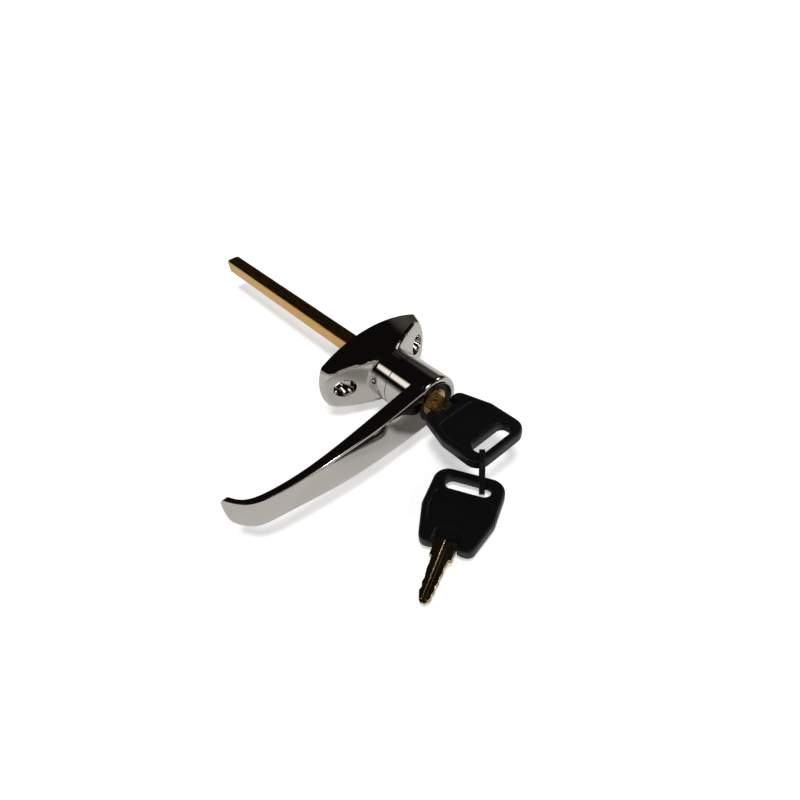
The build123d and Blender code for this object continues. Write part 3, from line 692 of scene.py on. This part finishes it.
# %% Blade
BLADE_THICKNESS = 2.4
GROOVE_CORE = 1.3
GROOVE_HALF_WIDTH = 0.55
SHOULDER_START = 31.0
SHOULDER_END = 40.6
SHOULDER_HALF_WIDTH = 4.4
TIP_END = 59.1
TIP_BEVEL = 1.0
TIP_HALF_WIDTHS = (1.7, 0.9)
GROOVE_TO_TIP = 1.2
CUT_RADIUS = 0.3
CUT_STEPS = 4
BLADE_CORE_ROUNDING = 0.1
RAIL_ROUNDING = 0.28
CUT_PLACES = (42.0, 44.0, 46.0, 48.0, 50.0, 51.8, 53.6, 55.2, 56.6)
BLADE_HALF_WIDTH = 3.35
LEFT_EDGE = (3.3, 3.15, 3.2, 2.95, 2.6, 2.9, 2.3, 2.75, 2.2)
RIGHT_EDGE = (3.2, 2.9, 3.1, 2.7, 2.95, 2.4, 2.7, 2.2, 2.4)


def blade_edge(widths):
    """Half width along one edge: the shoulder, the cuts and the tip, as (along, half width)."""
    shoulder = [(SHOULDER_START, SHOULDER_HALF_WIDTH), (SHOULDER_END, SHOULDER_HALF_WIDTH)]
    shoulder += [(SHOULDER_END, BLADE_HALF_WIDTH)]
    tip = list(zip((TIP_END - TIP_BEVEL, TIP_END), TIP_HALF_WIDTHS))
    return shoulder + list(zip(CUT_PLACES, widths)) + tip


def blade_parts():
    """The blade's core and its two rails, flat in the key's own plane."""
    left, right = blade_edge(LEFT_EDGE), blade_edge(RIGHT_EDGE)
    around = [(x, -w) for x, w in left] + [(x, w) for x, w in reversed(right)]
    core = rounded_outline(around, [CUT_RADIUS] * len(around), CUT_STEPS)
    parts = [thick_outline([core], GROOVE_CORE, BLADE_CORE_ROUNDING)]
    for edge, side in ((left, -1), (right, 1)):
        groove_side = side * GROOVE_HALF_WIDTH
        rail = [(x, side * w) for x, w in edge[:-1]]
        rail += [(TIP_END - GROOVE_TO_TIP, groove_side), (SHOULDER_START, groove_side)]
        if side > 0:
            rail = rail[::-1]
        outline = rounded_outline(rail, [CUT_RADIUS] * len(rail), CUT_STEPS)
        parts.append(thick_outline([outline], BLADE_THICKNESS, RAIL_ROUNDING))
    return parts


# %% Put the keys together
KEY_1_END = (0.0, -85.0, 0.0)
KEY_1_HEADING = 90.0
KEY_2_END = (-11.0, -78.4, -13.6)
KEY_2_HEADING = 206.3
for name, end, heading in (
    ("key_1", KEY_1_END, KEY_1_HEADING),
    ("key_2", KEY_2_END, KEY_2_HEADING),
):
    course = np.radians(heading)
    x_axis = (np.cos(course), np.sin(course), 0)
    y_axis = (-np.sin(course), np.cos(course), 0)
    placed = [set_in_place(part, end, x_axis, y_axis) for part in bow_parts()]
    bow = new_piece(name + "_moulded_bow", placed, sharp_degrees=50)
    bow.data.materials.append(finishes["bow_plastic"])
    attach(bow, name)
    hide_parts(name + "_bow")
    cut = [set_in_place(part, end, x_axis, y_axis) for part in blade_parts()]
    blade = new_piece(name + "_milled_blade", cut, sharp_degrees=50)
    blade.data.materials.append(finishes["key_brass"])
    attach(blade, name)
    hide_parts(name + "_blade")
    print(name, "faces:", len(bow.data.polygons), len(blade.data.polygons))

# %% Link
# A band that stands on edge, a little wider at its foot, about both keys' rims.
LINK_TOP_HALF = 3.0
LINK_FOOT_HALF = 3.9
LINK_HALF_HEIGHT = 9.8
LINK_BEND = 1.6
LINK_THICKNESS = 0.95
LINK_WIDTH = 2.4
LINK_ROUNDING = 0.3
LINK_MIDDLE = (-10.18, -82.59, -7.05)
LINK_HEADING = 44.0
loop = [
    (-LINK_FOOT_HALF, -LINK_HALF_HEIGHT), (LINK_FOOT_HALF, -LINK_HALF_HEIGHT),
    (LINK_TOP_HALF, LINK_HALF_HEIGHT), (-LINK_TOP_HALF, LINK_HALF_HEIGHT),
]
inner = rounded_outline(loop, [LINK_BEND] * 4)
outer = rounded_outline(moved_in(loop, -LINK_THICKNESS), [LINK_BEND + LINK_THICKNESS] * 4)
course = np.radians(LINK_HEADING)
x_axis = (np.cos(course), np.sin(course), 0)
band = thick_outline([outer, inner], LINK_WIDTH, LINK_ROUNDING)
placed = [set_in_place(band, LINK_MIDDLE, x_axis, (0, 0, 1))]
link = new_piece("key_link_band", placed, sharp_degrees=50)
link.data.materials.append(finishes["link_plastic"])
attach(link, "link")
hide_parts("key_link")
print("link faces:", len(link.data.polygons))

# %% [markdown]
# ## Floor, world and lamps
# The floor is white paper. It glows a little for what sees it directly or in a mirror, so
# the background stays white, and the lamps' light on top of that leaves a soft shadow.
# The room is dark overhead and pale near the horizon, which is what bright chrome shows
# on its upper sides. Soft windows of light in the room make the broad highlights.

# %% Floor
CAMERA_GLOW = 0.5
MIRROR_GLOW = 0.05
FLOOR_SIZE = 6.0
FLOOR_Z = cad_box[0][2]
bpy.ops.mesh.primitive_plane_add(size=FLOOR_SIZE, location=(0, 0, FLOOR_Z))
floor = bpy.context.object
floor.name = "floor"
floor_material, tree = new_material("white paper floor")
path = add(tree, "LightPath").outputs
paper = add(tree, "BsdfDiffuse", Color=linear("f2f2f2"))
mirrored = add(
    tree, "Math", {"operation": "MAXIMUM"},
    i0=path["Is Glossy Ray"], i1=path["Is Transmission Ray"],
)
mirror_part = add(
    tree, "Math", {"operation": "MULTIPLY"}, i0=mirrored.outputs[0], i1=MIRROR_GLOW
)
strength = add(
    tree, "Math", {"operation": "MULTIPLY_ADD"},
    i0=path["Is Camera Ray"], i1=CAMERA_GLOW, i2=mirror_part.outputs[0],
)
glow = add(tree, "Emission", Color=linear("ffffff"), Strength=strength.outputs[0])
finish_material(tree, add(tree, "AddShader", i0=paper.outputs[0], i1=glow.outputs[0]))
floor.data.materials.append(floor_material)


# %% World
FRONT = (0.10, -0.76, 0.60)
REAR = (-0.57, 0.59, 0.57)
SIDE = (0.75, -0.35, 0.50)
FAR_SIDE = (0.78, 0.42, 0.46)
OVERHEAD = (-0.24, 0.31, 0.92)
# Where it stands, the angle it is full within, the angle it ends at, and its strength.
WINDOWS = (
    (FRONT, 3, 13, 2.4),
    (REAR, 2, 12, 1.5),
    (SIDE, 3, 12, 1.5),
    (FAR_SIDE, 3, 20, 0.09),
    (OVERHEAD, 2, 13, 0.07),
)
ROOM_LOW, ROOM_HIGH = -0.1, 0.26
ROOM_BRIGHT, ROOM_DARK = 0.7, 0.006


def soft_window(tree, direction, towards, inner, outer, strength):
    """Light from one direction: a smooth step of the cosine between two angles in degrees."""
    facing = add(
        tree, "VectorMath", {"operation": "DOT_PRODUCT"},
        i0=direction, i1=Vector(towards).normalized(),
    ).outputs["Value"]
    edge = [float(np.cos(np.radians(angle))) for angle in (outer, inner)]
    return add(
        tree, "MapRange", {"interpolation_type": "SMOOTHSTEP"},
        i0=facing, i1=edge[0], i2=edge[1], i3=0.0, i4=strength,
    ).outputs[0]


world = bpy.data.worlds.new("studio")
bpy.context.scene.world = world
world.use_nodes = True
tree = world.node_tree
tree.nodes.clear()
path = add(tree, "LightPath").outputs
direction = add(tree, "TexCoord").outputs["Generated"]
height = add(tree, "SeparateXYZ", Vector=direction).outputs["Z"]
room = add(
    tree, "MapRange", {"interpolation_type": "SMOOTHSTEP"},
    i0=height, i1=ROOM_LOW, i2=ROOM_HIGH, i3=ROOM_BRIGHT, i4=ROOM_DARK,
)
total = room.outputs[0]
for window in WINDOWS:
    light = soft_window(tree, direction, *window)
    total = add(tree, "Math", {"operation": "ADD"}, i0=total, i1=light).outputs[0]
room_light = add(tree, "Background", Color=linear("fbf6ee"), Strength=total)
white = add(tree, "Background", Color=linear("ffffff"), Strength=1.0)
mixed = add(
    tree, "MixShader",
    i0=path["Is Camera Ray"], i1=room_light.outputs[0], i2=white.outputs[0],
)
output = tree.nodes.new("ShaderNodeOutputWorld")
tree.links.new(mixed.outputs[0], output.inputs["Surface"])


# %% Lamps
def sun_lamp(name, from_direction, strength, angle, in_mirrors):
    """A far lamp that lights everything alike from one direction, its width in radians."""
    light = bpy.data.lights.new(name, "SUN")
    light.energy = strength
    light.angle = angle
    lamp = bpy.data.objects.new(name, light)
    lamp.rotation_euler = Vector(from_direction).to_track_quat("Z", "Y").to_euler()
    lamp.visible_glossy = in_mirrors
    bpy.context.scene.collection.objects.link(lamp)


TOP = (-0.15, -0.2, 1.0)
sun_lamp("top lamp", TOP, strength=1.6, angle=0.3, in_mirrors=False)
sun_lamp("front lamp", FRONT, strength=0.35, angle=0.12, in_mirrors=True)
sun_lamp("rear lamp", REAR, strength=0.25, angle=0.12, in_mirrors=False)
sun_lamp("side lamp", SIDE, strength=0.25, angle=0.12, in_mirrors=True)

# %% Camera
# The place and the three axes were fitted to the photo, and they keep the numbers found.
PLACE = (-0.1175, -0.1793, 0.1689)
RIGHT = Vector((0.7533, -0.6517, -0.0882))
UP = Vector((0.4952, 0.4738, 0.7281))
BACK = Vector((-0.4328, -0.5922, 0.6797))
camera_data = bpy.data.cameras.new("camera")
camera_data.sensor_width = 36.0
camera_data.lens = 24.72
camera_data.clip_start = 0.01
camera = bpy.data.objects.new("camera", camera_data)
turn = Matrix((RIGHT, UP, BACK)).transposed().to_4x4()
camera.matrix_world = Matrix.Translation(PLACE) @ turn
bpy.context.scene.collection.objects.link(camera)
bpy.context.scene.camera = camera
bpy.context.scene.view_settings.view_transform = "Standard"
